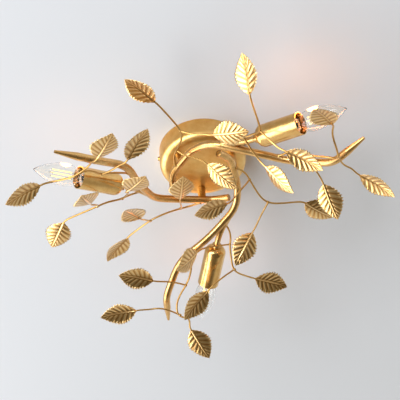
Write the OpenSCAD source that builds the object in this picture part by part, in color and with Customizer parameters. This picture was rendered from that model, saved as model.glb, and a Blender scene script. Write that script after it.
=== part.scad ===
// Flush ceiling light: a round canopy carries three vine arms on short stems. Each arm is a bent tube
// with a branch that ends in a candle lampholder, and three wire sprigs of stamped leaves.
// Millimetres, +Z up. The origin is on the ceiling, on the canopy's axis, so the light hangs below it.

/* [Canopy] */
// Outer diameter of the canopy
canopy_d = 140; // [136:1:180]
// How far the canopy stands off the ceiling
canopy_h = 39; // [37:1:60]
// Radius of the rounded edge under the canopy
canopy_shoulder = 13; // [6:1:14]
// Sheet thickness of the canopy
canopy_wall = 1.2; // [0.8:0.1:1.6]
// Distance of the side screws below the ceiling
side_screw_drop = 12; // [10:1:14]
// Shank diameter of the side screws and the earth screw
side_screw_d = 4; // [3:0.5:5]

/* [Ceiling bracket] */
// Width of the bracket strip
bracket_w = 22; // [18:1:26]
// Thickness of the bracket strip
bracket_t = 2; // [1.5:0.5:2.5]
// Distance between the two fixing slots
slot_spacing = 70; // [68:1:76]
// Length of a fixing slot, end to end
slot_length = 14; // [10:1:16]
// Width of a fixing slot
slot_w = 5; // [4:0.5:6]
// Diameter of the hole for the supply cable
cable_hole_d = 10; // [8:1:12]

/* [Stems] */
// Outer diameter of a stem below the canopy
stem_d = 13; // [12.5:0.5:13]
// Diameter of the threaded tail above the stem
tail_d = 10; // [9:0.5:10]
// Diameter of the wireway through a stem
stem_bore_d = 7; // [6.5:0.5:7.5]
// Depth of the arm's centre line below the canopy
stem_drop = 25; // [20:1:45]
// Height of the nut on a stem's tail
nut_h = 5; // [4:0.5:6]
// Nut size across its flats
nut_af = 14; // [13:0.5:15]

/* [Arms] */
// Outer diameter of an arm tube
arm_d = 12; // [11.5:0.5:12]
// Wall thickness of the arm and branch tubes
tube_wall = 1; // [0.8:0.1:1.2]
// Outer diameter of the branch to the lampholder
branch_d = 10; // [9:0.5:10]
// Diameter of the brazed collar under the cup
collar_d = 15; // [13:0.5:18]
// Length of the pointed end of an arm
arm_taper = 34; // [20:1:34]
// Diameter of an arm at its tip
arm_tip_d = 4.5; // [3:0.5:6]
// How far the first, second and third arm are turned about their stems
arm_turn = [0, 17, 8]; // [-5:1:25]

/* [Lampholder] */
// Outer diameter of the cup
cup_d = 35; // [35:0.5:40]
// Length of the cup from its base to its mouth
cup_len = 75; // [72:1:85]
// Sheet thickness of the cup
cup_wall = 1.2; // [0.8:0.1:1.6]
// Radius of the cup's rounded base
cup_shoulder = 11; // [6:1:11]
// Heading of the lampholder, seen from above
holder_heading = 111; // [107:1:114]
// How far the lampholder points down
holder_dip = 14; // [10:1:18]
// Outer diameter of the lampholder's body
insert_d = 27; // [25:0.5:29]

/* [Bulb] */
// Diameter of the candle bulb
bulb_d = 35; // [33:0.5:37]
// Length of the glass that stands out of the cup
bulb_out = 78; // [72:1:82]
// Wall thickness of the glass
glass_t = 1; // [0.7:0.1:1.2]
// Diameter of the screw cap over its thread
cap_d = 13.8; // [13.5:0.1:14]
// Length of a filament
filament_len = 34; // [28:1:36]

/* [Sprigs] */
// Diameter of a sprig's main wire
wire_d = 3.2; // [2.8:0.1:3.4]
// Diameter of its side twigs
twig_d = 2.8; // [2.4:0.1:3]

/* [Leaves] */
// Length of a leaf blade
leaf_len = 62; // [56:1:64]
// Width of a leaf blade
leaf_w = 35; // [30:1:36]
// Sheet thickness of a leaf
leaf_t = 0.7; // [0.5:0.1:1]
// Veins on each side of a leaf
leaf_veins = 7; // [5:1:8]
// Height of the pressed veins
vein_h = 0.8; // [0.3:0.1:1]
// Height of the midrib
rib_h = 1; // [0.5:0.1:1.4]
// How far the edges of a leaf curl
leaf_cup = 3; // [0:0.5:4]
// How far a leaf arches along its length
leaf_arch = 2.5; // [0:0.5:4]

/* [Hidden] */
ARMS = ["a", "b", "c"];
PLACES = ["inner", "middle", "outer"];
$fn = 48;

gold = "#c9a057";
pale_gold = "#d8b978";
steel = "#b9bcc0";
brass = "#c8a44a";
white = "#f2f0ea";
warm_light = "#ffe2a0";

// Clearances: a push fit, a gap between pieces that move past each other, and a screw's hole
snug = 0.05;
running = 0.3;
// A bent rod's straight runs are a hair slimmer than its bends and enter them by a short lap.
hair = 0.02;
lap = 0.3;
// A bend takes this share of the shorter run beside it.
bend_share = 0.46;
// A first bend that isn't held to a shorter run than its share
any_trim = 1000;
// A cut runs this far past the face that it opens.
past = 1;

canopy_r = canopy_d / 2;
flat_r = canopy_r - canopy_shoulder;
stem_circle_r = flat_r - stem_d / 2;
first_stem_angle = 217;
arm_r = arm_d / 2;
branch_r = branch_d / 2;
lead_r = 1.5;
washer_h = 1.5;
tail_top = canopy_wall + running + washer_h + nut_h + 3;

// The arm's centre line, from its open end round the canopy and out to its point. It is measured from
// the foot of the stem: +X points away from the canopy's axis, and the second run passes the origin.
ARM = [[-17, -40.5, -6], [-1, -18, 1], [2.5, 45, -2.5], [-8, 81, -15], [-62, 117, -40],
       [-114, 142, -55], [-147, 193, -85], [-155, 256, -84]];
BRANCH_BEND = 3;
HOLDER_AT = [-51, 143, -36];

// Each sprig: its main wire, then the points of the twigs that leave that wire at these two bends.
TWIG_BENDS = [2, 4];
SPRIGS = [
    [[[0, -2, -3], [17, 12, 1], [22, 30, -2], [31, 58, -10], [43, 80, -17], [72, 91, -12], [95, 99, -7]],
     [[12, 33, -12], [-5, 41, -17], [-20, 47, -26]],
     [[30, 92, -29], [20, 107, -36], [16, 109, -40]]],
    [[[-32, 98, -23], [-21, 124, -24], [-29, 134, -44], [-29, 156, -51], [-31, 175, -66],
      [-10, 196, -65], [11, 216, -62]],
     [[-50, 127, -51], [-68, 123, -59], [-75, 124, -66]],
     [[-44, 176, -76], [-58, 179, -89], [-64, 184, -96]]],
    [[[-92, 134, -49], [-98, 172, -57], [-109, 178, -79], [-133, 203, -88], [-135, 222, -111],
      [-105, 245, -96], [-101, 265, -103]],
     [[-124, 169, -80], [-143, 161, -83], [-156, 154, -89]],
     [[-151, 205, -99], [-170, 208, -101], [-183, 204, -105]]]];

// How each leaf is bent by hand: heading, pitch and roll, and how far its wire's end is pushed aside.
// A roll near 0 has the midrib's raised side up. One row for each sprig, with the leaf at the main
// wire's end first and then those of its two twigs.
LEAVES = [
    [[[11, 4, -20, [3, 0, 2]], [176, -31, -170, [5, 2, 3]], [122, -20, 165, [2, 1, 2]]],
     [[45, 40, -30, [6, -1, 2]], [167, -46, -160, [6, -2, 2]], [158, -31, 10, [6, -2, 3]]],
     [[22, -19, -30, [9, -3, 4]], [212, -28, -170, [2, 2, 3]], [165, -32, 25, [6, 1, 4]]]],
    [[[46, -1, 180, [5, -1, 1]], [195, -27, 5, [8, 3, -3]], [144, -44, -160, [1, 0, 0]]],
     [[34, -1, -20, [-14, -5, 5]], [209, -51, -160, [-1, -6, 6]], [154, -35, 5, [-6, -5, 4]]],
     [[67, -26, -170, [-20, -4, 1]], [213, -5, 15, [2, -3, 4]], [183, -6, 5, [-9, -5, 5]]]],
    [[[26, -9, -30, [0, 5, 1]], [173, -8, -160, [1, -5, -2]], [144, -27, -10, [0, -11, -2]]],
     [[11, 0, -160, [1, 5, 0]], [199, -17, -150, [6, 15, -4]], [158, -30, 175, [1, 5, 0]]],
     [[79, -37, -10, [-3, -1, 3]], [200, 8, 30, [2, -2, -3]], [192, -7, -150, [9, -6, -10]]]]];
// The last stretch of each wire, which lies in line with its leaf
leaf_stalk = 6;

function unit(v) = v / norm(v);
function run(p, i) = p[i + 1] - p[i];
function is_bend(p, i) = i > 0 && i < len(p) - 1;
function turn_at(p, i) = acos(min(1, max(-1, unit(run(p, i - 1)) * unit(run(p, i)))));
// Length of a run that its bend takes; the first bend can be held to a shorter length.
function trim_at(p, i, first) = !is_bend(p, i) ? 0 :
    min(i == 1 ? first : any_trim, bend_share * min(norm(run(p, i - 1)), norm(run(p, i))));
function bend_radius(p, i, first) = trim_at(p, i, first) / tan(turn_at(p, i) / 2);
function side_of(v) = unit(cross(abs(v.z) < 0.9 ? [0, 0, 1] : [1, 0, 0], v));
// Point halfway round a bend of a rod
function bend_mid(p, i) = p[i] + unit(unit(run(p, i)) - unit(run(p, i - 1)))
    * bend_radius(p, i, any_trim) * (1 / cos(turn_at(p, i) / 2) - 1);
function heading_of(azimuth, rise) = [cos(azimuth) * cos(rise), sin(azimuth) * cos(rise), sin(rise)];

module placed(x, y, z, at)
    multmatrix([[x.x, y.x, z.x, at.x], [x.y, y.y, z.y, at.y], [x.z, y.z, z.z, at.z]]) children();
module facing(d, at) placed(side_of(d), cross(d, side_of(d)), d, at) children();

module straight_run(p, i, r, first) {
    d = unit(run(p, i));
    start = trim_at(p, i, first) - (is_bend(p, i) ? lap : 0);
    end = trim_at(p, i + 1, first) - (is_bend(p, i + 1) ? lap : 0);
    facing(d, p[i] + d * start) cylinder(r = r - hair, h = norm(run(p, i)) - start - end);
}

module bend(p, i, r, first) {
    u = unit(run(p, i - 1));
    n = unit(cross(u, run(p, i)));
    inward = cross(n, u);
    placed(-inward, u, n, p[i] - u * trim_at(p, i, first) + inward * bend_radius(p, i, first))
        rotate_extrude(angle = turn_at(p, i)) translate([bend_radius(p, i, first), 0]) circle(r);
}

// A round rod along straight runs and the bends between them
module rod(p, r, first = any_trim) {
    for (i = [0 : len(p) - 2]) straight_run(p, i, r, first);
    for (i = [1 : len(p) - 2]) bend(p, i, r, first);
}

// Places of the stems, the arms and the lampholders
module at_stem(k)
    rotate([0, 0, first_stem_angle + 120 * k]) translate([stem_circle_r, 0, -canopy_h]) children();
module at_arm(k) at_stem(k) translate([0, 0, -stem_drop]) rotate([0, 0, arm_turn[k]]) children();
module at_holder(k)
    at_arm(k) translate(HOLDER_AT) rotate([0, 90 + holder_dip, holder_heading]) children();
module both_sides() for (side = [0, 180]) rotate([0, 0, side]) children();

// Canopy and ceiling bracket

module dish(r, h, shoulder) rotate_extrude() {
    square([r - shoulder, h]);
    translate([0, shoulder]) square([r, h - shoulder]);
    intersection() {
        translate([r - shoulder, shoulder]) circle(shoulder);
        square([r, h]);
    }
}

// A hole or shank across the canopy's wall and the bracket's ears
module side_bore(r) both_sides() translate([canopy_r - 8, 0, -side_screw_drop])
    rotate([0, 90, 0]) cylinder(r = r, h = 8 + past);

module canopy() color(gold) difference() {
    translate([0, 0, -canopy_h]) dish(canopy_r, canopy_h, canopy_shoulder);
    translate([0, 0, canopy_wall - canopy_h])
        dish(canopy_r - canopy_wall, canopy_h, canopy_shoulder - canopy_wall);
    for (k = [0 : 2]) at_stem(k)
        translate([0, 0, -past]) cylinder(r = tail_d / 2 + running, h = canopy_wall + 2 * past);
    side_bore(side_screw_d / 2 + running);
}

ear_x = canopy_r - canopy_wall - 1 - bracket_t;
ear_w = 16;
ear_h = side_screw_drop + 7;
earth_x = canopy_r - 18;

module stadium(length, width, h) {
    translate([-(length - width) / 2, -width / 2, 0]) cube([length - width, width, h]);
    for (x = [-1, 1]) translate([x * (length - width) / 2, 0, 0]) cylinder(d = width, h = h);
}

module strip(length, width)
    translate([-length / 2, -width / 2, -bracket_t]) cube([length, width, bracket_t]);

module ceiling_bracket() color(steel) difference() {
    union() {
        strip(2 * (ear_x - 5), bracket_w);
        strip(2 * (ear_x + bracket_t), ear_w);
    }
    for (x = [-1, 1]) translate([x * slot_spacing / 2, 0, -bracket_t - past])
        stadium(slot_length, slot_w, bracket_t + 2 * past);
    translate([cable_x, 0, -bracket_t - past])
        cylinder(d = cable_hole_d, h = bracket_t + 2 * past);
    translate([earth_x, 0, -bracket_t - past])
        cylinder(r = side_screw_d / 2 + snug, h = bracket_t + 2 * past);
    at_pegs() translate([0, 0, -past]) cylinder(r = peg_r + snug, h = bracket_t + 2 * past);
}

// Two ears, welded under the ends of the strip, take the side screws.
module bracket_ears() color(steel) difference() {
    both_sides() translate([ear_x, -ear_w / 2, -ear_h])
        cube([bracket_t, ear_w, ear_h - bracket_t]);
    side_bore(side_screw_d / 2 + snug);
}

module slotted_screw(d, length) {
    cylinder(d = d, h = length);
    difference() {
        translate([0, 0, -0.65 * d]) cylinder(d1 = 1.5 * d, d2 = 2 * d, h = 0.65 * d);
        translate([-d - past, -0.13 * d, -0.65 * d - past])
            cube([2 * d + 2 * past, 0.26 * d, past + 0.3 * d]);
    }
}

module canopy_side_screws() color(brass) both_sides()
    translate([canopy_r, 0, -side_screw_drop]) rotate([0, -90, 0])
        slotted_screw(side_screw_d, canopy_wall + 1 + bracket_t + 2);

module earth_screw() color(brass) translate([earth_x, 0, -bracket_t])
    slotted_screw(side_screw_d, bracket_t - 0.5);

// Terminal block: three poles side by side, with the leads entering from the front and the back

pole_pitch = 10;
block = [3 * pole_pitch + 2, 16, 12];
block_x = -9;
cable_x = 18;
clamp_r = 2.8;
clamp_z = -bracket_t - block.z / 2;
clamp_screw_d = 2.5;
peg_r = 1.5;

module at_poles() for (i = [-1 : 1]) translate([block_x + i * pole_pitch, 0, clamp_z]) children();
module at_pegs() for (i = [-1, 1])
    translate([block_x + i * pole_pitch / 2, 0, -bracket_t]) children();

module terminal_block() color(white) {
    difference() {
        translate([block_x - block.x / 2, -block.y / 2, -bracket_t - block.z]) cube(block);
        at_poles() rotate([90, 0, 0])
            cylinder(r = clamp_r + snug, h = block.y + 2 * past, center = true);
        at_poles() translate([0, 0, -block.z]) cylinder(r = clamp_screw_d / 2 + 0.5, h = block.z);
    }
    at_pegs() translate([0, 0, -past]) cylinder(r = peg_r, h = past + bracket_t - 0.5);
}

module terminal_clamps() color(brass) at_poles() difference() {
    rotate([90, 0, 0]) cylinder(r = clamp_r, h = block.y - 2, center = true);
    rotate([90, 0, 0]) cylinder(r = lead_r + snug, h = block.y, center = true);
    translate([0, 0, -block.z]) cylinder(r = clamp_screw_d / 2 + snug, h = block.z);
}

module terminal_screws() color(steel) at_poles() translate([0, 0, 1 - block.z / 2])
    cylinder(d = clamp_screw_d, h = block.z / 2 - 1 - lead_r - snug);

// One lead for each arm, from the top of its stem to its pole of the terminal block
function stem_at(k) = stem_circle_r * [cos(first_stem_angle + 120 * k), sin(first_stem_angle + 120 * k)];
function lead_top(k) = [stem_at(k).x, stem_at(k).y, tail_top - canopy_h + running];
function lead_side(k) = k == 2 ? 1 : -1;
function pole_at(k) = [block_x + [-1, 1, 0][k] * pole_pitch, lead_side(k) * (block.y / 2 - 2), clamp_z];
function canopy_lead_route(k) =
    [lead_top(k), lead_top(k) + [0, 0, 8], pole_at(k) + [0, lead_side(k) * 14, 0], pole_at(k)];

module canopy_leads() color(white) for (k = [0 : 2]) rod(canopy_lead_route(k), lead_r);

// Stem, arm and branch

module stem(k) color(gold) at_arm(k) difference() {
    union() {
        translate([0, 0, arm_r / 2]) cylinder(d = stem_d, h = stem_drop - running - arm_r / 2);
        translate([0, 0, arm_r / 2]) cylinder(d = tail_d, h = stem_drop + tail_top - arm_r / 2);
    }
    cylinder(d = stem_bore_d, h = stem_drop + tail_top + past);
    bend(ARM, 1, arm_r, any_trim);
    straight_run(ARM, 1, arm_r, any_trim);
}

module stem_nut(k) color(steel) at_arm(k)
    translate([0, 0, stem_drop + canopy_wall + running]) difference() {
        union() {
            cylinder(d = nut_af + 0.6, h = washer_h);
            translate([0, 0, washer_h]) cylinder(d = nut_af / cos(30), h = nut_h, $fn = 6);
        }
        translate([0, 0, -past]) cylinder(r = tail_d / 2 + snug, h = washer_h + nut_h + 2 * past);
    }

// The arm's last run is cut short, and a cone carries it on to the point.
arm_last = len(ARM) - 1;
arm_end_dir = unit(run(ARM, arm_last - 1));
arm_cone_at = ARM[arm_last] - arm_end_dir * arm_taper;
function arm_body() = [for (i = [0 : arm_last]) i < arm_last ? ARM[i] : arm_cone_at];

holder_dir = heading_of(holder_heading, -holder_dip);
// How far the branch and the lead reach into the lampholder, measured from the cup's base
branch_in = cup_wall + 8;
lead_in = 20;
BRANCH = [bend_mid(ARM, BRANCH_BEND), HOLDER_AT - 28 * holder_dir, HOLDER_AT + branch_in * holder_dir];

module arm_tube(k) color(gold) at_arm(k) difference() {
    union() {
        rod(arm_body(), arm_r);
        facing(arm_end_dir, arm_cone_at)
            cylinder(r1 = arm_r - hair, r2 = arm_tip_d / 2, h = arm_taper);
    }
    rod(arm_body(), arm_r - tube_wall);
    cylinder(d = stem_bore_d, h = arm_d);
    straight_run(BRANCH, 0, branch_r - tube_wall, any_trim);
}

module branch_tube(k) color(gold) at_arm(k) difference() {
    union() {
        rod(BRANCH, branch_r);
        facing(holder_dir, HOLDER_AT - 5 * holder_dir) cylinder(d = collar_d, h = 5);
    }
    rod(BRANCH, branch_r - tube_wall);
    bend(ARM, BRANCH_BEND, arm_r + 0.1, any_trim);
    straight_run(ARM, BRANCH_BEND - 1, arm_r, any_trim);
    straight_run(ARM, BRANCH_BEND, arm_r, any_trim);
}

// The lead comes down the stem, turns into the arm and leaves it through the branch.
lead_sag = 2.5;
LEAD = [[0, -1.5, stem_drop + tail_top], [0, -1.5, -lead_sag], ARM[2], ARM[BRANCH_BEND], BRANCH[1],
        HOLDER_AT + lead_in * holder_dir];
module arm_lead(k) color(white) at_arm(k) rod(LEAD, lead_r, 6);

// Lampholder, along its own axis from the cup's base

insert_top = cup_len - 9;
cap_tip = insert_top - 25;
socket_floor = cap_tip - 3;
foot_h = 5;
socket_r = cap_d / 2 + 0.4;

module holder_cup(k) color(gold) at_holder(k) difference() {
    dish(cup_d / 2, cup_len, cup_shoulder);
    translate([0, 0, cup_wall])
        dish(cup_d / 2 - cup_wall, cup_len, cup_shoulder - cup_wall);
    translate([0, 0, -past]) cylinder(r = branch_r + snug, h = cup_wall + 2 * past);
}

module lampholder(k) color(white) at_holder(k) difference() {
    translate([0, 0, cup_wall]) {
        cylinder(r = cup_d / 2 - cup_shoulder - 0.1, h = foot_h + past);
        translate([0, 0, foot_h]) cylinder(d = insert_d, h = insert_top - cup_wall - foot_h);
    }
    cylinder(r = branch_r + snug, h = branch_in + running);
    cylinder(r = lead_r + 0.5, h = insert_top);
    translate([0, 0, socket_floor]) cylinder(r = socket_r, h = insert_top);
    translate([0, -strip_w / 2 - snug, strip_foot])
        cube([socket_r + strip_t, strip_w + 2 * snug, insert_top]);
}

// The middle contact stands under the bulb's tip, and the side contact in a groove beside its thread.
strip_w = 4;
strip_t = 1;
strip_foot = lead_in;
module holder_contacts(k) color(brass) at_holder(k) {
    translate([0, 0, lead_in]) cylinder(r = lead_r, h = socket_floor + past - lead_in);
    translate([0, 0, socket_floor]) cylinder(r = 4, h = cap_tip - running - socket_floor);
    translate([socket_r + snug, -strip_w / 2, strip_foot])
        cube([strip_t - 2 * snug, strip_w, insert_top - 4 - strip_foot]);
}

// Bulb

cap_r = cap_d / 2;
ridge_r = 0.5;
cap_top = insert_top + 1.5;
cap_bore_r = cap_r - 1.3;
neck_r = cap_bore_r - snug;
neck_foot = insert_top - 8;
belly = cup_len + 25;
glass_tip = cup_len + bulb_out;
// Radii of the glass's outline above and below its widest place
upper_arc = (pow(glass_tip - belly, 2) + pow(bulb_d / 2, 2)) / bulb_d;
lower_arc = 44;

module bulb_cap(k) color(steel) at_holder(k) difference() {
    union() {
        translate([0, 0, cap_tip]) cylinder(r = 2.4, h = 2);
        translate([0, 0, cap_tip + 1]) cylinder(r1 = 3, r2 = cap_r - ridge_r, h = 3);
        translate([0, 0, cap_tip + 4])
            cylinder(r = cap_r - ridge_r, h = cap_top - cap_tip - 4);
        for (i = [0 : 4]) translate([0, 0, cap_tip + 6.5 + 2.8 * i])
            rotate_extrude() translate([cap_r - ridge_r, 0]) circle(ridge_r, $fn = 24);
    }
    translate([0, 0, neck_foot - running]) cylinder(r = cap_bore_r, h = cap_top);
}

module glass_form(inset) {
    rotate_extrude() intersection() {
        translate([bulb_d / 2 - upper_arc, belly]) circle(upper_arc - inset, $fn = 240);
        translate([0, belly]) square([bulb_d, bulb_out]);
    }
    rotate_extrude() intersection() {
        translate([bulb_d / 2 - lower_arc, belly]) circle(lower_arc - inset, $fn = 240);
        translate([0, cap_top]) square([bulb_d, belly - cap_top]);
    }
    translate([0, 0, neck_foot]) cylinder(r = neck_r - inset, h = belly - neck_foot - 5);
}

module bulb_glass(k) color("#eef2f4", 0.35) at_holder(k) difference() {
    glass_form(0);
    glass_form(glass_t);
}

// Four sticks stand between two wire spiders on a glass post whose foot plugs the neck.
spider_r = 5;
stick_foot = cup_len + 13;
module bulb_filaments(k) color(warm_light) at_holder(k) {
    translate([0, 0, neck_foot]) cylinder(r = neck_r - glass_t - snug, h = 2);
    translate([0, 0, neck_foot]) cylinder(r = 2, h = stick_foot - 4 - neck_foot);
    translate([0, 0, neck_foot]) cylinder(r = 0.5, h = stick_foot + filament_len - neck_foot);
    for (a = [45 : 90 : 315]) rotate([0, 0, a]) {
        translate([spider_r, 0, stick_foot - 1]) cylinder(r = 0.9, h = filament_len + 2);
        for (z = [stick_foot, stick_foot + filament_len]) translate([0, 0, z - 0.5])
            rotate([0, 90, 0]) cylinder(r = 0.4, h = spider_r);
    }
}

// Sprigs: a main wire and two twigs, brazed together and to the arm

function leaf_dir(k, s, j) = heading_of(LEAVES[k][s][j][0], LEAVES[k][s][j][1]);
function last_point(s, j) = len(SPRIGS[s][j]) - 1;
function wire_end(k, s, j) = SPRIGS[s][j][last_point(s, j)] + LEAVES[k][s][j][3];
function leaf_at(k, s, j) = wire_end(k, s, j) + leaf_stalk * leaf_dir(k, s, j);
function wire_route(k, s, j) = concat(
    j == 0 ? [] : [bend_mid(SPRIGS[s][0], TWIG_BENDS[j - 1])],
    [for (i = [0 : last_point(s, j) - 1]) SPRIGS[s][j][i]],
    [wire_end(k, s, j), leaf_at(k, s, j)]);

module sprig_wire(k, s) color(gold) at_arm(k) difference() {
    for (j = [0 : 2]) rod(wire_route(k, s, j), (j == 0 ? wire_d : twig_d) / 2);
    rod(arm_body(), arm_r);
    if (s == 1) rod(BRANCH, branch_r);
}

// A leaf is a stamped sheet with its base at the origin and its tip along +X. Its veins sweep forward
// from a raised midrib to a toothed edge, and the sheet curls and arches.

leaf_gaps = 2 * leaf_veins + 1;
leaf_foot = 1.5;
stalk_w = 1.3;
stalk_t = 0.8;
vein_sweep = 0.24;
TOP_SIDES = [-1, -0.55, -0.08, 0, 0.08, 0.55, 1];
UNDER_SIDES = [1, 0.55, 0, -0.55, -1];

function leaf_share(i) = max(0, (i - 1) / (leaf_gaps - 1));
function is_vein(i) = i % 2 == 0 && i > 0;
// How far along the blade a cross row lies at side s, from 0 at the base to 1 at the tip
function leaf_reach(i, s) = leaf_share(i) + vein_sweep * sin(180 * leaf_share(i)) * abs(s);
// The outline is round at the base and drawn out to the tip.
function leaf_half(i) = max(i < leaf_gaps ? stalk_w : 0.4,
    leaf_w / 2 * pow(sin(180 * pow(leaf_reach(i, 1), 0.87)), 0.9) * (is_vein(i) ? 1.04 : 0.96));
function leaf_x(i, s) = i == 0 ? 0 : leaf_foot + (leaf_len - leaf_foot) * leaf_reach(i, s);
function vein_rise(i, s) = !is_vein(i) ? 0 : vein_h * (abs(s) < 0.3 ? 0.4 : abs(s) < 0.9 ? 1 : 0.5);
function leaf_z(i, s) = leaf_arch * sin(180 * leaf_share(i)) + vein_rise(i, s)
    - leaf_cup * s * s * min(1, leaf_half(i) / leaf_w * 2)
    + (s == 0 ? rib_h * (1 - 0.6 * leaf_share(i)) : 0);
function stalk_z(s) = stalk_t * (1 - 0.4 * s * s);
function leaf_top(i) = [for (s = TOP_SIDES)
    [leaf_x(i, s), leaf_half(i) * s, i < 2 ? stalk_z(s) : leaf_z(i, s)]];
function leaf_under(i) = [for (s = UNDER_SIDES)
    [leaf_x(i, s), leaf_half(i) * s, i < 2 ? -stalk_z(s) : leaf_z(i, s) - leaf_t]];

module leaf() {
    ring = len(TOP_SIDES) + len(UNDER_SIDES);
    points = [for (i = [0 : leaf_gaps]) each concat(leaf_top(i), leaf_under(i))];
    sides = [for (i = [0 : leaf_gaps - 1]) for (j = [0 : ring - 1])
        let (a = i * ring + j, b = i * ring + (j + 1) % ring)
        each [[a, b, b + ring], [a, b + ring, a + ring]]];
    rib = 3;
    base_end = [for (j = [1 : ring - 2]) [rib, (rib + j + 1) % ring, (rib + j) % ring]];
    tip = leaf_gaps * ring;
    tip_end = [for (j = [1 : ring - 2])
        [tip + rib, tip + (rib + j) % ring, tip + (rib + j + 1) % ring]];
    polyhedron(points, concat(sides, base_end, tip_end));
}

module leaves(k, s) color(pale_gold) at_arm(k) for (j = [0 : 2])
    translate(leaf_at(k, s, j)) rotate([LEAVES[k][s][j][2], -LEAVES[k][s][j][1], LEAVES[k][s][j][0]])
        leaf();

ceiling_bracket();
bracket_ears();
canopy();
canopy_side_screws();
terminal_block();
terminal_clamps();
terminal_screws();
earth_screw();
canopy_leads();
for (k = [0 : 2]) {
    arm_tube(k);
    stem(k);
    stem_nut(k);
    branch_tube(k);
    holder_cup(k);
    lampholder(k);
    holder_contacts(k);
    arm_lead(k);
    bulb_glass(k);
    bulb_cap(k);
    bulb_filaments(k);
    for (s = [0 : 2]) {
        sprig_wire(k, s);
        leaves(k, s);
    }
}
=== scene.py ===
"""Looks of a flush ceiling light: a round canopy, three vine arms with stamped leaves, three candle bulbs.

Lengths of the light are in millimetres and turned to metres by MM, and the studio is in metres. +Z is up, and
the ceiling is at Z = 0.
"""

from math import exp, pi, radians, sin

import bmesh
import bpy
from mathutils import Matrix, Vector


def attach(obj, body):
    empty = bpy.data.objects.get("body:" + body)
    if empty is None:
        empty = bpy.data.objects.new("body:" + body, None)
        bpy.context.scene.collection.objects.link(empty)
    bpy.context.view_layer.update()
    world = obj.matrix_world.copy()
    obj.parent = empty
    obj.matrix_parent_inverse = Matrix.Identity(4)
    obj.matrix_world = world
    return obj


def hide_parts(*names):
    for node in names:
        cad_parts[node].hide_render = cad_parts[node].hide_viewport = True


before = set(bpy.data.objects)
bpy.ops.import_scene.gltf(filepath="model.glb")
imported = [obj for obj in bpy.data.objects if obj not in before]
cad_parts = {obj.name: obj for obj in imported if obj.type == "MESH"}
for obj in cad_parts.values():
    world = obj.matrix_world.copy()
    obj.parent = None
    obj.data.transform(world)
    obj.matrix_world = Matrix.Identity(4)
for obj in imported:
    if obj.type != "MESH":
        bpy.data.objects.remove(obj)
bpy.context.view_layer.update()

MM = 0.001
ARMS = "abc"
PLACES = ("inner", "middle", "outer")


def linked(name, data):
    """A new object in the scene."""
    new = bpy.data.objects.new(name, data)
    bpy.context.scene.collection.objects.link(new)
    return new


# The camera stands below and in front of the light and looks up at it.

camera_data = bpy.data.cameras.new("camera")
camera_data.sensor_width = 36
camera_data.lens = 103.57
camera = linked("camera", camera_data)
camera.location = (0, -1.3152, -1.3537)
camera.rotation_euler = (radians(133.449), radians(3.248), radians(3.485))
bpy.context.scene.camera = camera


# The places of the arms, the lampholders, the wires and the leaves are those of the part's source, but for
# the leaves' rolls, which are up to 25 degrees off them. An arm's own points count from where its stem meets
# it.

FIRST_STEM = 217
STEM_CIRCLE = 50.5
ARM_DEPTH = 64
ARM_TURN = (0, 17, 8)
ARM_RADIUS = 6
ARM_START = (-17, -40.5, -6)
ARM_LINE = (
    (-1, -18, 1),
    (2.5, 45, -2.5),
    (-8, 81, -15),
    (-62, 117, -40),
    (-114, 142, -55),
    (-147, 193, -85),
    (-155, 256, -84),
)
HOLDER_AT = (-51, 143, -36)
HOLDER_HEADING = 111
HOLDER_DIP = 14
CUP_LENGTH = 75
STALK = 6

# Each sprig's main wire, from the arm to the last point before its leaf
MAIN_WIRES = (
    ((0, -2, -3), (17, 12, 1), (22, 30, -2), (31, 58, -10), (43, 80, -17), (72, 91, -12)),
    ((-32, 98, -23), (-21, 124, -24), (-29, 134, -44), (-29, 156, -51), (-31, 175, -66), (-10, 196, -65)),
    (
        (-92, 134, -49),
        (-98, 172, -57),
        (-109, 178, -79),
        (-133, 203, -88),
        (-135, 222, -111),
        (-105, 245, -96),
    ),
)
# The points of a main wire where its two twigs leave it, and the twigs' own points
FORKS = (2, 4)
WIRE_RADIUS = 1.6
TWIG_RADIUS = 1.4
TWIGS = (
    (((12, 33, -12), (-5, 41, -17)), ((30, 92, -29), (20, 107, -36))),
    (((-50, 127, -51), (-68, 123, -59)), ((-44, 176, -76), (-58, 179, -89))),
    (((-124, 169, -80), (-143, 161, -83)), ((-151, 205, -99), (-170, 208, -101))),
)
# Where a sprig's three wires end
WIRE_ENDS = (
    ((95, 99, -7), (-20, 47, -26), (16, 109, -40)),
    ((11, 216, -62), (-75, 124, -66), (-64, 184, -96)),
    ((-101, 265, -103), (-156, 154, -89), (-183, 204, -105)),
)
# Heading, pitch and roll of each leaf in degrees, and how far its wire's end is pushed aside: an arm to a
# block, a sprig to a line
LEAF_BENDS = (
    (
        ((11, 4, -12, (3, 0, 2)), (176, -31, -180, (5, 2, 3)), (122, -20, 155, (2, 1, 2))),
        ((45, 40, -35, (6, -1, 2)), (167, -46, -168, (6, -2, 2)), (158, -31, 0, (6, -2, 3))),
        ((22, -19, -10, (9, -3, 4)), (212, -28, -167, (2, 2, 3)), (165, -32, 15, (6, 1, 4))),
    ),
    (
        ((46, -1, 170, (5, -1, 1)), (195, -27, 9, (8, 3, -3)), (144, -44, -155, (1, 0, 0))),
        ((34, -1, -25, (-14, -5, 5)), (209, -51, -150, (-1, -6, 6)), (154, -35, 5, (-6, -5, 4))),
        ((67, -26, 171, (-20, -4, 1)), (213, -5, 20, (2, -3, 4)), (183, -6, 17, (-9, -5, 5))),
    ),
    (
        ((26, -9, -22, (0, 5, 1)), (173, -8, -170, (1, -5, -2)), (144, -27, 8, (0, -11, -2))),
        ((11, 0, -172, (1, 5, 0)), (199, -17, -175, (6, 15, -4)), (158, -30, -160, (1, 5, 0))),
        ((79, -37, 3, (-3, -1, 3)), (200, 8, 20, (2, -2, -3)), (192, -7, -168, (9, -6, -10))),
    ),
)


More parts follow.
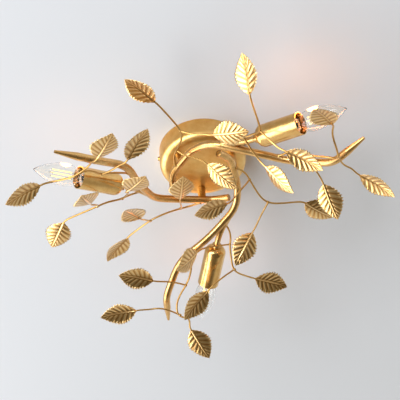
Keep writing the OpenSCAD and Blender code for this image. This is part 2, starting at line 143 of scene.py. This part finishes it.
def turn(degrees, axis):
    return Matrix.Rotation(radians(degrees), 4, axis)


def arm_place(k):
    """Puts an arm's own points where arm k hangs."""
    stem = turn(FIRST_STEM + 120 * k, "Z") @ Matrix.Translation((STEM_CIRCLE, 0, -ARM_DEPTH))
    return stem @ turn(ARM_TURN[k], "Z")


def holder_place(k):
    """Puts a shape that stands on the cup's base along Z into the lampholder of arm k."""
    aim = turn(HOLDER_HEADING, "Z") @ turn(90 + HOLDER_DIP, "Y")
    return arm_place(k) @ Matrix.Translation(HOLDER_AT) @ aim


def leaf_way(k, s, j):
    """The turn that lays a leaf along its stalk, in its arm's own directions."""
    heading, pitch, roll, _ = LEAF_BENDS[k][s][j]
    return turn(heading, "Z") @ turn(-pitch, "Y") @ turn(roll, "X")


def wire_push(k, s, j):
    return Vector(LEAF_BENDS[k][s][j][3])


def wire_end(k, s, j):
    return Vector(WIRE_ENDS[s][j]) + wire_push(k, s, j)


def leaf_place(k, s, j):
    """Puts a leaf that starts at the origin and runs along X on the end of its wire."""
    way = leaf_way(k, s, j)
    return arm_place(k) @ Matrix.Translation(wire_end(k, s, j) + STALK * way.col[0].to_3d()) @ way


# The nodes that the materials are made of


def paint(hex_value):
    """A written sRGB colour as Blender's linear one."""
    parts = [int(hex_value[i : i + 2], 16) / 255 for i in (1, 3, 5)]
    return [c / 12.92 if c <= 0.04045 else ((c + 0.055) / 1.055) ** 2.4 for c in parts] + [1.0]


def node(owner, kind, settings=None, values=None, links=None):
    """Adds a node with its settings, its sockets' values and the sockets that feed it."""
    new = owner.node_tree.nodes.new(kind)
    for key, value in (settings or {}).items():
        setattr(new, key, value)
    for key, value in (values or {}).items():
        new.inputs[key].default_value = value
    for key, source in (links or {}).items():
        owner.node_tree.links.new(source, new.inputs[key])
    return new


def material(name):
    new = bpy.data.materials.new(name)
    new.use_nodes = True
    new.node_tree.nodes.clear()
    return new


def finish_with(owner, shader, output="ShaderNodeOutputMaterial"):
    node(owner, output, None, None, {"Surface": shader.outputs[0]})
    return owner


def noise(owner, length, detail, roughness=0.5):
    """Unevenness in patches of about a length in millimetres."""
    place = node(owner, "ShaderNodeTexCoord").outputs["Object"]
    values = {"Scale": 1 / (length * MM), "Detail": detail, "Roughness": roughness}
    return node(owner, "ShaderNodeTexNoise", None, values, {"Vector": place}).outputs["Fac"]


def spread(owner, value, low, high, start=0.0, end=1.0):
    """Carries a value that runs from start to end over to one that runs from low to high."""
    values = {"From Min": start, "From Max": end, "To Min": low, "To Max": high}
    return node(owner, "ShaderNodeMapRange", None, values, {"Value": value}).outputs["Result"]


def tint(owner, share, light, dark):
    """A colour between two written ones."""
    colours = {6: paint(light), 7: paint(dark)}
    return node(owner, "ShaderNodeMix", {"data_type": "RGBA"}, colours, {0: share}).outputs[2]


def ramp(owner, share, *stops):
    """A colour that passes through written ones at their (position, colour) stops."""
    new = node(owner, "ShaderNodeValToRGB", None, None, {"Fac": share})
    elements = new.color_ramp.elements
    for element, (position, hex_value) in zip(elements, (stops[0], stops[-1])):
        element.position = position
        element.color = paint(hex_value)
    for position, hex_value in stops[1:-1]:
        elements.new(position).color = paint(hex_value)
    return new.outputs["Color"]


def bumps(owner, share, strength, height, under=None):
    """Bumps with a height in millimetres, on top of the ones under them."""
    links = {"Height": share}
    if under is not None:
        links["Normal"] = under
    values = {"Strength": strength, "Distance": height * MM}
    return node(owner, "ShaderNodeBump", None, values, links).outputs["Normal"]


def surface(owner, values, colour, gloss, relief):
    links = {"Base Color": colour, "Roughness": gloss, "Normal": relief}
    return finish_with(owner, node(owner, "ShaderNodeBsdfPrincipled", None, values, links))


# Materials


# Steel sheet and tube with a gold lacquer rubbed on by hand. The eye gets a soft metal gloss, tint patches
# about 14 mm across where the lacquer is thicker, and a rubbed grain that is drawn 1.2 mm across, because the
# real one of about 0.2 mm is too fine to show.
def rubbed_gold_lacquer(name, light, dark, roughness, dent):
    lacquer = material(name)
    patches = noise(lacquer, 14, 5.0, 0.6)
    grain = noise(lacquer, 1.2, 3.0)
    colour = tint(lacquer, spread(lacquer, patches, 0, 1, 0.34, 0.68), light, dark)
    gloss = spread(lacquer, grain, roughness - 0.05, roughness + 0.06)
    dents = bumps(lacquer, patches, 0.5, dent)
    return surface(lacquer, {"Metallic": 1.0}, colour, gloss, bumps(lacquer, grain, 0.12, 0.08, dents))


# Thin brass sheet stamped into a leaf and lacquered. Its colour follows the leaf's own "height" attribute. It
# is dark in the pressed grooves, for lacquer left there and as painted shade. It is pale on the veins, for
# rubbed lacquer and as a painted highlight. It is also pale along the cut edge, where the lacquer is rubbed.
def stamped_brass_leaf_with_painted_light(name, rubbed_and_highlit, base, groove_lacquer_and_shade, roughness):
    brass = material(name)
    height = node(brass, "ShaderNodeAttribute", {"attribute_name": "height"}).outputs["Fac"]
    wear = spread(brass, noise(brass, 9, 3.0), -0.25, 0.25)
    grain = noise(brass, 1.5, 3.0)
    adding = {"operation": "ADD", "use_clamp": True}
    level = node(brass, "ShaderNodeMath", adding, None, {0: height, 1: wear}).outputs[0]
    # Painted shade in the grooves and a painted highlight on the veins, over the lacquer's own dark and
    # rubbed tones
    colour = ramp(brass, level, (0.12, groove_lacquer_and_shade), (0.48, base), (0.92, rubbed_and_highlit))
    gloss = spread(brass, grain, roughness - 0.05, roughness + 0.06)
    values = {"Metallic": 1.0, "Coat Weight": 0.6, "Coat Roughness": 0.3}
    return surface(brass, values, colour, gloss, bumps(brass, grain, 0.35, 0.12))


# A plain moulded, turned or plated finish: one colour with faint cloudiness and a fine grain in its gloss
def plain_finish(name, light, dark, roughness, metallic=0.0):
    plain = material(name)
    grain = noise(plain, 1.5, 2.0)
    colour = tint(plain, noise(plain, 8, 2.0), light, dark)
    gloss = spread(plain, grain, roughness - 0.05, roughness + 0.07)
    return surface(plain, {"Metallic": metallic}, colour, gloss, bumps(plain, grain, 0.2, 0.05))


# Soda glass, clear and fire-polished, with a faint ripple about 6 mm across from the blowing
def blown_soda_glass():
    glass = material("blown_soda_glass")
    ripple = bumps(glass, noise(glass, 6, 1.0), 0.15, 0.05)
    values = {"Base Color": paint("#fcfcfa"), "Roughness": 0.0, "Transmission Weight": 1.0, "IOR": 1.3}
    return finish_with(glass, node(glass, "ShaderNodeBsdfPrincipled", None, values, {"Normal": ripple}))


# A lit filament: a glass strip under warm yellow phosphor, brighter in the spots over its chips, 3 mm apart
def lit_phosphor_strip():
    strip = material("lit_phosphor_strip")
    warmth = tint(strip, noise(strip, 3, 1.0), "#ffc95c", "#ffe9a8")
    return finish_with(strip, node(strip, "ShaderNodeEmission", None, {"Strength": 2.4}, {"Color": warmth}))


GOLD_CANOPY = rubbed_gold_lacquer("rubbed_gold_lacquer_on_canopy", "#f3cc84", "#e6b566", 0.37, 0.06)
GOLD_SHEET = rubbed_gold_lacquer("rubbed_gold_lacquer_on_cup", "#e6c07e", "#d7a75e", 0.22, 0.05)
GOLD_TUBE = rubbed_gold_lacquer("rubbed_gold_lacquer_on_tube", "#e2ba7c", "#cf9f5c", 0.28, 0.06)
GOLD_WIRE = rubbed_gold_lacquer("rubbed_gold_lacquer_on_wire", "#d6ad69", "#bd8f4a", 0.30, 0.08)
GOLD_LEAF = stamped_brass_leaf_with_painted_light("stamped_brass_leaf_with_painted_light", "#eccb8e", "#d9aa64", "#ab7936", 0.29)
# Brazing alloy, which flows into a smooth bead and is lacquered with the rest
BRAZE = rubbed_gold_lacquer("brazed_bead", "#d0a662", "#b08344", 0.34, 0.15)
# Steel strip and nuts with a bright zinc plate
ZINC_STEEL = plain_finish("zinc_plated_steel", "#bdc0c4", "#a4a7ac", 0.34, 1.0)
# Turned brass, left bright
TURNED_BRASS = plain_finish("turned_brass", "#d6af62", "#bd9148", 0.24, 1.0)
# Moulded phenolic resin, cream and slightly glossy
PHENOLIC = plain_finish("moulded_phenolic", "#f0ece2", "#e4dfd2", 0.42)
# Silicone sleeve over the leads: matt and white
SILICONE = plain_finish("silicone_sleeve", "#eeeeea", "#dfdfda", 0.6)
# Bulb cap of nickel-plated brass
NICKEL = plain_finish("nickel_plated_brass", "#cfcfcc", "#b9b8b4", 0.2, 1.0)
BLOWN_GLASS = blown_soda_glass()
LIT_PHOSPHOR = lit_phosphor_strip()

FINISH = {
    "ceiling_bracket": ZINC_STEEL,
    "bracket_ears": ZINC_STEEL,
    "canopy": GOLD_CANOPY,
    "canopy_side_screws": TURNED_BRASS,
    "terminal_block": PHENOLIC,
    "terminal_clamps": TURNED_BRASS,
    "terminal_screws": ZINC_STEEL,
    "earth_screw": TURNED_BRASS,
    "canopy_leads": SILICONE,
}
for arm in ARMS:
    FINISH["arm_tube_" + arm] = GOLD_TUBE
    FINISH["stem_" + arm] = GOLD_TUBE
    FINISH["stem_nut_" + arm] = ZINC_STEEL
    FINISH["branch_tube_" + arm] = GOLD_TUBE
    FINISH["holder_cup_" + arm] = GOLD_SHEET
    FINISH["lampholder_" + arm] = PHENOLIC
    FINISH["holder_contacts_" + arm] = TURNED_BRASS
    FINISH["arm_lead_" + arm] = SILICONE
    FINISH["bulb_glass_" + arm] = BLOWN_GLASS
    FINISH["bulb_cap_" + arm] = NICKEL
    FINISH["bulb_filaments_" + arm] = LIT_PHOSPHOR
    for sprig in PLACES:
        FINISH["sprig_wire_" + sprig + "_" + arm] = GOLD_WIRE
        FINISH["leaves_" + sprig + "_" + arm] = GOLD_LEAF

for name, finish in FINISH.items():
    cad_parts[name].data.materials.clear()
    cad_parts[name].data.materials.append(finish)


# Tools for the pieces made for the looks


def ride_on(piece, body, slot_name, *replaced):
    """Says which body a piece rides on, and hides the nodes that it stands for. slot_name is not used."""
    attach(piece, body)
    if replaced:
        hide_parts(*replaced)
    return piece


def finished(name, form, finishes):
    """Turns a bmesh in millimetres into a smooth piece."""
    bmesh.ops.scale(form, vec=(MM, MM, MM), verts=form.verts)
    bmesh.ops.recalc_face_normals(form, faces=form.faces)
    mesh = bpy.data.meshes.new(name)
    form.to_mesh(mesh)
    form.free()
    mesh.shade_smooth()
    for finish in finishes:
        mesh.materials.append(finish)
    return linked(name, mesh)


def lathe(profile, steps):
    """Spins a profile of (radius, height) pairs once round Z."""
    form = bmesh.new()
    points = [form.verts.new((radius, 0, height)) for radius, height in profile]
    edges = [form.edges.new(pair) for pair in zip(points, points[1:])]
    round_z = {"axis": (0, 0, 1), "cent": (0, 0, 0), "angle": 2 * pi}
    bmesh.ops.spin(form, geom=points + edges, steps=steps, use_merge=True, **round_z)
    bmesh.ops.remove_doubles(form, verts=form.verts[:], dist=0.01)
    return form


def add_form(whole, form, place):
    """Adds a form to a larger one, in its place."""
    bmesh.ops.transform(form, matrix=place, verts=form.verts)
    mesh = bpy.data.meshes.new("form")
    form.to_mesh(mesh)
    form.free()
    whole.from_mesh(mesh)
    bpy.data.meshes.remove(mesh)


def facing(at, way):
    """Puts a shape's origin at a point, with its Z along a direction."""
    return Matrix.Translation(at) @ way.to_track_quat("Z", "Y").to_matrix().to_4x4()


# Leaves: a sheet with a raised midrib between two fine grooves, veins that sweep forward, and a saw-toothed
# edge. The sheet arches along its length and its sides curl.

LEAF_LENGTH = 62
LEAF_FOOT = 1.5
LEAF_WIDTH = 38.5
LEAF_SHEET = 0.7
LEAF_ROWS = 108
LEAF_COLUMNS = 30
# The least half width, at the stalk and at the tip
STALK_HALF = 1.3
TIP_HALF = 0.25
LEAF_ARCH = 2.5
LEAF_CURL = 3
VEINS = 9
VEIN_SWEEP = 0.24
VEIN_RISE = 0.32
# How far from the middle the veins start, and over what distance they rise
VEIN_START = 1.4
VEIN_BLEND = 1.6
RIB_RISE = 0.95
RIB_WIDTH = 0.85
GUTTER_DEPTH = 0.3
GUTTER_AT = 2.1
GUTTER_WIDTH = 0.8
TEETH = 13
TOOTH_DEPTH = 0.24


def leaf_outline(t):
    """Half width and tooth of a leaf where the row of points that starts at share t of its midrib ends."""
    edge = t + VEIN_SWEEP * sin(pi * t)
    tooth = 0.5 - (TEETH * edge) % 1
    return LEAF_WIDTH / 2 * max(sin(pi * edge**0.87), 0.0) ** 0.9, TOOTH_DEPTH * tooth


def leaf_point(t, s):
    """A place at share t of a leaf's length and s of its half width, and its relief from about 0 to 1."""
    side = abs(s)
    half, tooth = leaf_outline(t)
    half = max(half * (1 + tooth * side**6), STALK_HALF * (1 - t) + TIP_HALF)
    across = side * half
    # The pleats between veins fade towards the midrib, the edge, the stalk and the tip.
    fade = min(1.0, max(0.0, (across - VEIN_START) / VEIN_BLEND))
    fade *= (1 - 0.55 * side**4) * min(1.0, 7 * t, 9 * (1 - t))
    pleat = fade * (1 - 2 * abs(2 * ((VEINS * t) % 1) - 1) ** 1.2)
    rib = exp(-((across / RIB_WIDTH) ** 2)) * (1 - 0.55 * t)
    gutter = exp(-(((across - GUTTER_AT) / GUTTER_WIDTH) ** 2)) * (1 - 0.4 * t)
    lift = VEIN_RISE * pleat + RIB_RISE * rib - GUTTER_DEPTH * gutter
    arch = LEAF_ARCH * sin(pi * t) - LEAF_CURL * s * s * min(1.0, half / (LEAF_WIDTH / 2))
    along = LEAF_FOOT + (LEAF_LENGTH - LEAF_FOOT) * (t + VEIN_SWEEP * sin(pi * t) * side)
    # The relief that the leaf's colour follows: painted shade in the grooves, a painted highlight on the
    # veins, pale wear on the edge
    height = 0.5 + 0.5 * (pleat + rib - gutter) + 0.35 * side**10
    return Vector((along, half * s, arch + lift)), height


def add_leaf(form, place):
    """A grid of points pressed into a leaf, with the points crowded towards its midrib."""
    height = form.verts.layers.float["height"]
    grid = bmesh.ops.create_grid(form, x_segments=LEAF_ROWS, y_segments=LEAF_COLUMNS, size=1)
    for vert in grid["verts"]:
        spot, vert[height] = leaf_point((vert.co.x + 1) / 2, vert.co.y * abs(vert.co.y) ** 0.4)
        vert.co = place @ spot


def veined_leaves(k, s):
    """The three leaves of a sprig."""
    sprig = PLACES[s] + "_" + ARMS[k]
    form = bmesh.new()
    form.verts.layers.float.new("height")
    for j in range(3):
        add_leaf(form, leaf_place(k, s, j))
    leaves = finished("veined_leaves_" + sprig, form, [GOLD_LEAF])
    ride_on(leaves, "arm " + ARMS[k], "gold_leaf", "leaves_" + sprig)
    sheet = leaves.modifiers.new("sheet", "SOLIDIFY")
    sheet.thickness = LEAF_SHEET * MM
    sheet.offset = 0


# Wires: a main wire and two twigs to a sprig, each a smooth curve that thins a little and runs on under its
# leaf

WIRE_THINNING = 0.12
UNDER_LEAF = 5


def fork_on(wire, i):
    """Where a wire's smooth curve passes its point i, and the way it runs there."""
    before, at, after = (Vector(wire[n]) for n in (i - 1, i, i + 1))
    return (before + 4 * at + after) / 6, (after - before).normalized()


def wire_start(k, s, j):
    """A wire's points before its end. Its push aside starts at its last fork and grows towards its end."""
    push = wire_push(k, s, j)
    if j == 0:
        points = [Vector(spot) for spot in MAIN_WIRES[s]]
        points[-1] += push / 2
        return points
    near, far = (Vector(spot) for spot in TWIGS[s][j - 1])
    return [fork_on(MAIN_WIRES[s], FORKS[j - 1])[0], near + push / 4, far + push * 0.6]


def add_wire(curve, points, radius):
    """A bent wire: a smooth curve along its points, a little thinner at its far end."""
    spline = curve.splines.new("NURBS")
    spline.points.add(len(points) - 1)
    for n, (spot, knot) in enumerate(zip(points, spline.points)):
        knot.co = (*(spot * MM), 1)
        knot.radius = radius / WIRE_RADIUS * (1 - WIRE_THINNING * n / len(points))
    spline.order_u = 4
    spline.use_endpoint_u = True
    spline.resolution_u = 10


def bent_wires(k, s):
    """The main wire and the two twigs of a sprig."""
    sprig = PLACES[s] + "_" + ARMS[k]
    curve = bpy.data.curves.new("bent_wires_" + sprig, "CURVE")
    curve.dimensions = "3D"
    curve.bevel_depth = WIRE_RADIUS * MM
    curve.bevel_resolution = 4
    curve.use_fill_caps = True
    for j in range(3):
        end = wire_end(k, s, j)
        leaf_run = leaf_way(k, s, j).col[0].to_3d()
        points = wire_start(k, s, j)
        points += [end, end + STALK * leaf_run, end + (STALK + UNDER_LEAF) * leaf_run]
        add_wire(curve, [arm_place(k) @ spot for spot in points], WIRE_RADIUS if j == 0 else TWIG_RADIUS)
    curve.materials.append(GOLD_WIRE)
    ride_on(linked(curve.name, curve), "arm " + ARMS[k], "gold_sheet", "sprig_wire_" + sprig)


# Brazed beads: a small flare where each sprig leaves its arm, a bead at each fork of its wires, and a plug, a
# little domed, in each arm's open start

FLARE = ((0, -2.2), (3.4, -2.0), (3.1, -0.6), (2.5, 0.4), (2.05, 1.4), (1.75, 2.6), (WIRE_RADIUS + 0.03, 3.8))
BEAD = ((0, -2.6), (1.5, -2.3), (2.1, -1.3), (2.35, 0.0), (2.1, 1.3), (1.5, 2.3), (0, 2.6))
PLUG = ((0, 0.1), (2.6, -0.05), (4.2, -0.4), (4.9, -0.9), (4.9, -2.4), (0, -2.4))
BEAD_STEPS = 20
# How finely the place where a wire leaves its arm is looked for
SEARCH_STEP = 0.25


def off_arm(spot):
    """Distance of a point from the arm's centre line."""
    gaps = []
    for start, end in zip(ARM_LINE, ARM_LINE[1:]):
        start, run = Vector(start), Vector(end) - Vector(start)
        share = min(1.0, max(0.0, (spot - start).dot(run) / run.length_squared))
        gaps.append((spot - start - run * share).length)
    return min(gaps)


def out_of_arm(wire):
    """Where a wire comes out of its arm's wall, and the way it runs there."""
    start, after = (Vector(spot) for spot in wire[:2])
    way = (after - start).normalized()
    step = 0
    while off_arm(start + way * step) < ARM_RADIUS:
        step += SEARCH_STEP
    return start + way * step, way


def brazed_beads(k, s):
    """The flare and the two beads of a sprig."""
    wire = MAIN_WIRES[s]
    beads = bmesh.new()
    add_form(beads, lathe(FLARE, BEAD_STEPS), arm_place(k) @ facing(*out_of_arm(wire)))
    for fork in FORKS:
        add_form(beads, lathe(BEAD, BEAD_STEPS), arm_place(k) @ facing(*fork_on(wire, fork)))
    bead = finished("brazed_beads_" + PLACES[s] + "_" + ARMS[k], beads, [BRAZE])
    ride_on(bead, "arm " + ARMS[k], "gold_sheet")


def tube_plug(k):
    start, after = Vector(ARM_START), Vector(ARM_LINE[0])
    form = lathe(PLUG, BEAD_STEPS)
    place = arm_place(k) @ facing(start, (start - after).normalized())
    bmesh.ops.transform(form, matrix=place, verts=form.verts)
    ride_on(finished("tube_plug_" + ARMS[k], form, [BRAZE]), "arm " + ARMS[k], "gold_sheet")


# Filaments: four lit strips with metal ends stand on two wire spiders round a glass stem, whose flare closes
# the bulb's neck. Heights count from the cup's base.

NECK_FOOT = 58
NECK_RADIUS = 4.5
FLARE_TOP = 65
STEM_TOP = 84
STICK_FOOT = 88
STICK_TOP = 122
STICK_RADIUS = 0.85
# A strip's metal ends, and how far they stand out beyond it
END_LENGTH = 3
END_RADIUS = 0.5
END_OUT = 2.5
# The spiders' reach, the thickness of their legs, and how far they are from the strips' ends
SPIDER = 5
LEG_RADIUS = 0.3
SPIDER_CLEAR = 2
POST_RADIUS = 0.4
ROD_SIDES = 16
STRIP, METAL, STEM = range(3)
GLASS_STEM = (
    (0, NECK_FOOT),
    (NECK_RADIUS - 0.1, NECK_FOOT),
    (NECK_RADIUS - 0.3, NECK_FOOT + 2),
    (2.8, FLARE_TOP - 2),
    (2.0, FLARE_TOP + 2),
    (1.9, STEM_TOP - 4),
    (1.4, STEM_TOP - 0.5),
    (0, STEM_TOP),
)


def rod(radius, length, finish, edge=0.15):
    """A round rod with eased ends, standing on the origin along Z."""
    form = bmesh.new()
    size = {"radius1": radius, "radius2": radius, "depth": length, "segments": ROD_SIDES}
    bmesh.ops.create_cone(form, cap_ends=True, matrix=Matrix.Translation((0, 0, length / 2)), **size)
    rims = [e for e in form.edges if abs(e.verts[0].co.z - e.verts[1].co.z) < 0.01]
    easing = {"offset": edge, "offset_type": "OFFSET", "segments": 2, "profile": 0.5, "material": -1}
    bmesh.ops.bevel(form, geom=rims, affect="EDGES", **easing)
    for face in form.faces:
        face.material_index = finish
    return form


def raised(height, out=0):
    return Matrix.Translation((out, 0, height))


def led_filaments(k):
    """The stem, the post, the four strips and the two spiders of a bulb."""
    inside = lathe(GLASS_STEM, 24)
    for face in inside.faces:
        face.material_index = METAL if face.calc_center_median().z < FLARE_TOP else STEM
    add_form(inside, rod(POST_RADIUS, STICK_TOP - STEM_TOP + 1, METAL), raised(STEM_TOP - 1))
    for quarter in range(4):
        side = turn(45 + 90 * quarter, "Z")
        strip = rod(STICK_RADIUS, STICK_TOP - STICK_FOOT, STRIP, 0.3)
        add_form(inside, strip, side @ raised(STICK_FOOT, SPIDER))
        for height in (STICK_FOOT - END_OUT, STICK_TOP + END_OUT - END_LENGTH):
            add_form(inside, rod(END_RADIUS, END_LENGTH, METAL), side @ raised(height, SPIDER))
        for height in (STICK_FOOT - SPIDER_CLEAR, STICK_TOP + SPIDER_CLEAR):
            add_form(inside, rod(LEG_RADIUS, SPIDER, METAL, 0.1), side @ raised(height) @ turn(90, "Y"))
    bmesh.ops.transform(inside, matrix=holder_place(k), verts=inside.verts)
    filaments = finished("led_filaments_" + ARMS[k], inside, [LIT_PHOSPHOR, NICKEL, BLOWN_GLASS])
    ride_on(filaments, "bulb " + ARMS[k], "filament", "bulb_filaments_" + ARMS[k])


for make in (veined_leaves, bent_wires, brazed_beads):
    for k in range(len(ARMS)):
        for s in range(len(PLACES)):
            make(k, s)
for make in (tube_plug, led_filaments):
    for k in range(len(ARMS)):
        make(k)


# The studio: a painted ceiling, clear from above, a broad window light on the left and a plain surround

# The ceiling lies just clear of the canopy's rim, and is open where the canopy covers it, so that light from
# above reaches what the canopy holds. Its own radius is in metres.
CEILING_GAP = 0.6
CANOPY_OPENING = 69
CEILING_RADIUS = 5


# Emulsion paint put on plaster with a roller: matt, with a stipple that is drawn 7 mm across
def rolled_emulsion_paint():
    emulsion = material("rolled_emulsion_paint")
    values = {"Color": paint("#dadcdd"), "Roughness": 1.0}
    stipple = bumps(emulsion, noise(emulsion, 7, 3.0), 0.25, 0.4)
    matt = node(emulsion, "ShaderNodeBsdfDiffuse", None, values, {"Normal": stipple})
    clear = node(emulsion, "ShaderNodeBsdfTransparent")
    above = node(emulsion, "ShaderNodeNewGeometry").outputs["Backfacing"]
    sides = {0: above, 1: matt.outputs[0], 2: clear.outputs[0]}
    return finish_with(emulsion, node(emulsion, "ShaderNodeMixShader", None, None, sides))


ceiling_form = bmesh.new()
for radius in (CANOPY_OPENING * MM, CEILING_RADIUS):
    bmesh.ops.create_circle(ceiling_form, cap_ends=False, segments=96, radius=radius)
bmesh.ops.bridge_loops(ceiling_form, edges=ceiling_form.edges[:])
bmesh.ops.translate(ceiling_form, vec=(0, 0, CEILING_GAP * MM), verts=ceiling_form.verts)
for face in ceiling_form.faces:
    face.normal_update()
    if face.normal.z > 0:
        face.normal_flip()
ceiling_mesh = bpy.data.meshes.new("ceiling")
ceiling_form.to_mesh(ceiling_mesh)
ceiling_form.free()
ceiling_mesh.materials.append(rolled_emulsion_paint())
ceiling = linked("ceiling", ceiling_mesh)


def soft_lamp(name, at, aim, size, watts, hex_value):
    data = bpy.data.lights.new(name, "AREA")
    data.shape = "RECTANGLE"
    data.size, data.size_y = size
    data.energy = watts
    data.color = paint(hex_value)[:3]
    lamp = linked(name, data)
    lamp.location = at
    lamp.rotation_euler = (Vector(aim) - Vector(at)).to_track_quat("-Z", "Y").to_euler()


soft_lamp("window_light", (-1.7, 0.0, -0.95), (0, 0, -0.2), (3.2, 1.45), 58, "#f4f6fc")
soft_lamp("front_fill", (-1.2, -2.1, -1.0), (0, 0, -0.08), (1.8, 0.9), 46, "#eff4ff")

# The warm light of each bulb, from just above its glass, because a lamp inside the glass lights nothing. The
# photo's three bulbs throw unlike amounts on the ceiling.
GLOW_WATTS = (0.11, 0.08, 0.04)
GLASS_MIDDLE = CUP_LENGTH + 22
GLOW_LIFT = 30
GLOW_SIZE = 10

for k, watts in enumerate(GLOW_WATTS):
    data = bpy.data.lights.new("bulb_glow_" + ARMS[k], "POINT")
    data.energy = watts
    data.color = paint("#ff9a4a")[:3]
    data.shadow_soft_size = GLOW_SIZE * MM
    glow = linked(data.name, data)
    glow.location = (holder_place(k) @ Vector((0, 0, GLASS_MIDDLE)) + Vector((0, 0, GLOW_LIFT))) * MM
    glow.visible_camera = False

# The surround is pale at eye level, brighter on the window's side, and a plain darker floor towards straight
# below, which comes nearest on the camera's side.
FLOOR_TIP = 16
SHADES = ((0.12, "#6e6759"), (0.155, "#7f786b"), (0.185, "#c9c4ba"), (0.24, "#efece6"), (0.6, "#efefef"))
WINDOW_SIDE = 1.32
FAR_SIDE = 0.6

world = bpy.data.worlds.new("studio")
bpy.context.scene.world = world
world.use_nodes = True
world.node_tree.nodes.clear()
around = node(world, "ShaderNodeTexCoord").outputs["Generated"]
tip = {"Rotation": (radians(FLOOR_TIP), 0, 0)}
tipped = node(world, "ShaderNodeMapping", None, tip, {"Vector": around}).outputs[0]
ways = node(world, "ShaderNodeSeparateXYZ", None, None, {"Vector": tipped}).outputs
shade = ramp(world, spread(world, ways["Z"], 0, 1, -1, 1), *SHADES)
level = spread(world, ways["X"], WINDOW_SIDE, FAR_SIDE, -1, 1)
surround = node(world, "ShaderNodeBackground", None, None, {"Color": shade, "Strength": level})
finish_with(world, surround, "ShaderNodeOutputWorld")

bpy.context.scene.view_settings.view_transform = "Standard"
